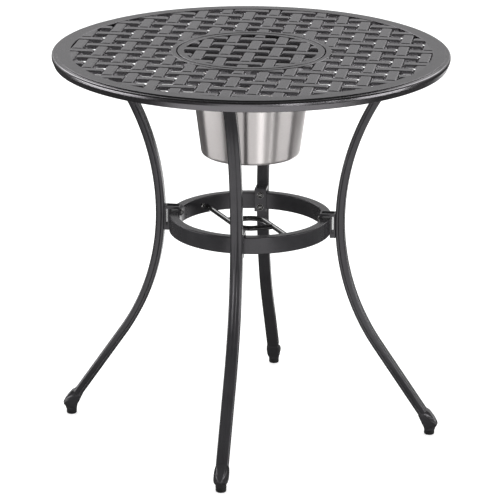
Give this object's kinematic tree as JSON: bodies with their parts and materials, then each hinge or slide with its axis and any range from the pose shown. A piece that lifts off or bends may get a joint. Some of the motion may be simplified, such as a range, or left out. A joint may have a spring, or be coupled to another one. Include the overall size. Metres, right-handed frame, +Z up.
{
  "type": "ice bucket coffee table",
  "caption": "Round patio table with a basket-weave top, a lidded ice bucket hung in its centre, bowed legs, and a ring with a pole guide.",
  "frame": {"origin": "on the floor, under the centre of the round top", "axes": "+Z up; the four legs stand on the X and Y axes, and the leg nearest the picture's camera is on -Y"},
  "size_m": [0.7109, 0.711, 0.711],
  "materials": {
    "casting": "powder-coated charcoal, semi-gloss",
    "bar": "powder-coated charcoal, satin",
    "shoe": "powder-coated charcoal, satin",
    "rod": "gloss black",
    "steel": "brushed",
    "fastener": "polished",
    "glide": "matte"
  },
  "bodies": {
    "frame": {"foot_casting_back": "shoe", "foot_casting_front": "shoe", "foot_casting_left": "shoe", "foot_casting_right": "shoe", "foot_glide_back": "glide", "foot_glide_front": "glide", "foot_glide_left": "glide", "foot_glide_right": "glide", "guide_bolts": "fastener", "guide_hook_a": "rod", "guide_hook_b": "rod", "leg_back": "bar", "leg_front": "bar", "leg_left": "bar", "leg_plate_back": "bar", "leg_plate_bolts": "fastener", "leg_plate_front": "bar", "leg_plate_left": "bar", "leg_plate_right": "bar", "leg_right": "bar", "ring_bracket_back": "bar", "ring_bracket_bolts": "fastener", "ring_bracket_front": "bar", "ring_bracket_left": "bar", "ring_bracket_right": "bar", "ring_bracket_washers": "fastener", "spreader_ring": "bar", "tabletop_collar": "casting", "tabletop_rim": "casting", "tabletop_weave": "casting"},
    "bucket": {"ice_bucket_wall": "steel", "ice_bucket_floor": "steel", "ice_bucket_flange": "steel"},
    "lid": {"bucket_lid": "casting"}
  },
  "joints": [
    {"name": "bucket_lift", "type": "slide", "parent": "frame", "child": "bucket", "axis": [0, 0, 1], "range_m": [0, 0.205]},
    {"name": "lid_lift", "type": "slide", "parent": "bucket", "child": "lid", "axis": [0, 0, 1], "range_m": [0, 0.12]}
  ]
}
